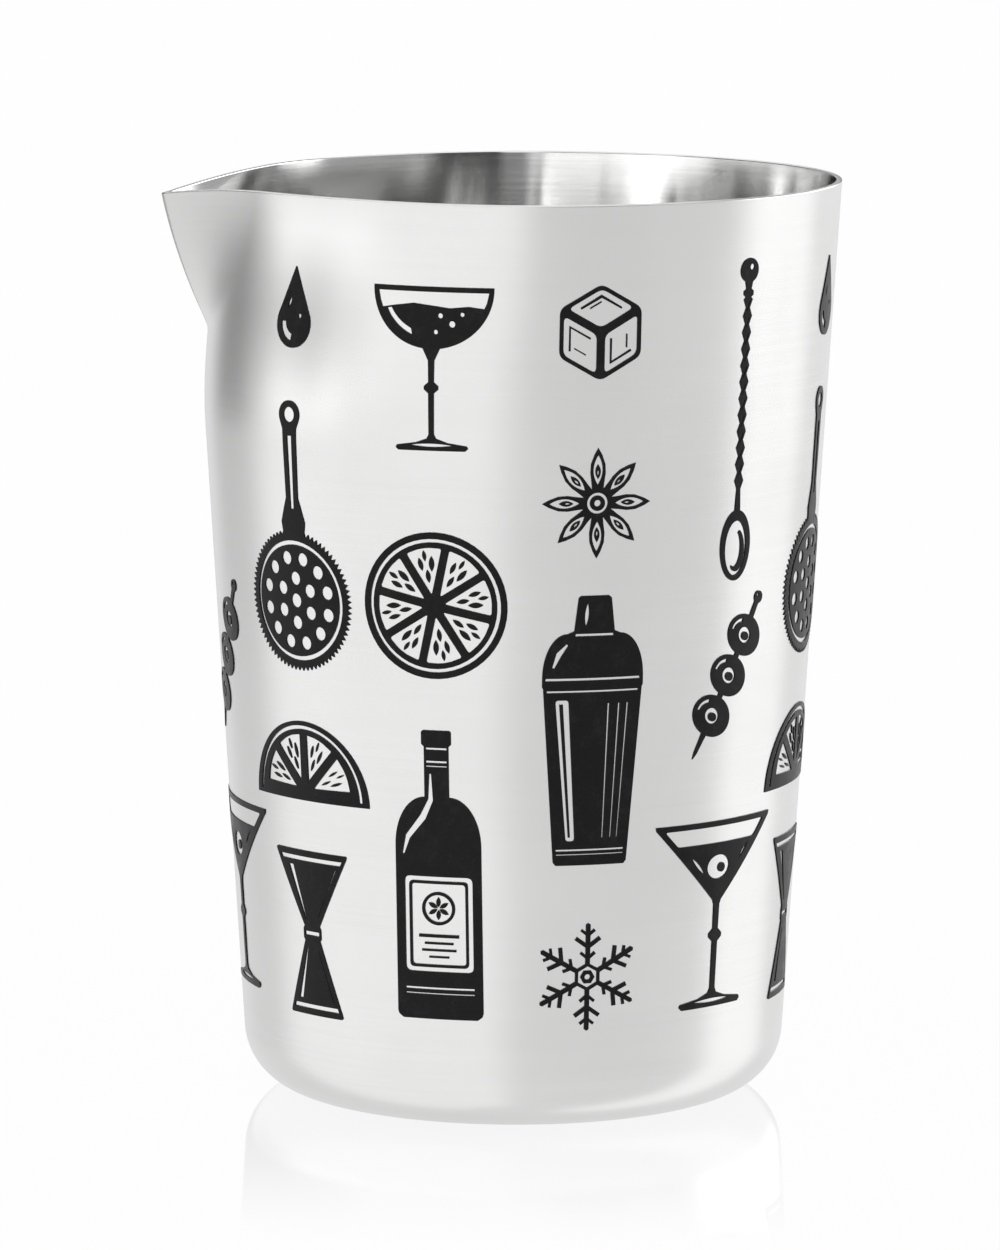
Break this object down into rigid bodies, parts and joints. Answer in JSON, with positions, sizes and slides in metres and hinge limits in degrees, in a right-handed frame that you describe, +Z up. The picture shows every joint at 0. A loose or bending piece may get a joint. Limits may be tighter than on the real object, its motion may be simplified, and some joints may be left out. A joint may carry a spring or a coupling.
{
  "type": "cocktail mixing tin",
  "caption": "Tapered steel mixing tin with a pouring spout pressed into its rim, a rounded foot and black enamel marks on its wall, for stirring and pouring drinks.",
  "frame": {"origin": "middle of the flat base, on the cup's axis", "axes": "+Z up along the cup's axis to the mouth, -X towards the pouring spout"},
  "size_m": [0.0939, 0.0896, 0.127],
  "materials": {
    "steel": "satin, fine brushing round the wall",
    "enamel": "black baked enamel, half gloss"
  },
  "bodies": {
    "root": {"mark_bar_spoon_1": "enamel", "mark_bar_spoon_2": "enamel", "mark_bottle_1": "enamel", "mark_bottle_2": "enamel", "mark_bottle_3": "enamel", "mark_citrus_wedge_1": "enamel", "mark_citrus_wedge_2": "enamel", "mark_citrus_wedge_3": "enamel", "mark_citrus_wheel_1": "enamel", "mark_citrus_wheel_2": "enamel", "mark_citrus_wheel_3": "enamel", "mark_coupe_1": "enamel", "mark_coupe_2": "enamel", "mark_coupe_3": "enamel", "mark_droplet_1": "enamel", "mark_droplet_2": "enamel", "mark_droplet_3": "enamel", "mark_ice_cube_1": "enamel", "mark_ice_cube_2": "enamel", "mark_jigger_1": "enamel", "mark_jigger_2": "enamel", "mark_jigger_3": "enamel", "mark_martini_1": "enamel", "mark_martini_2": "enamel", "mark_martini_3": "enamel", "mark_olive_pick_1": "enamel", "mark_olive_pick_2": "enamel", "mark_olive_pick_3": "enamel", "mark_shaker_1": "enamel", "mark_shaker_2": "enamel", "mark_shaker_3": "enamel", "mark_snowflake_1": "enamel", "mark_snowflake_2": "enamel", "mark_snowflake_3": "enamel", "mark_star_anise_1": "enamel", "mark_star_anise_2": "enamel", "mark_strainer_1": "enamel", "mark_strainer_2": "enamel", "mark_strainer_3": "enamel", "tin_body": "steel"}
  },
  "joints": []
}
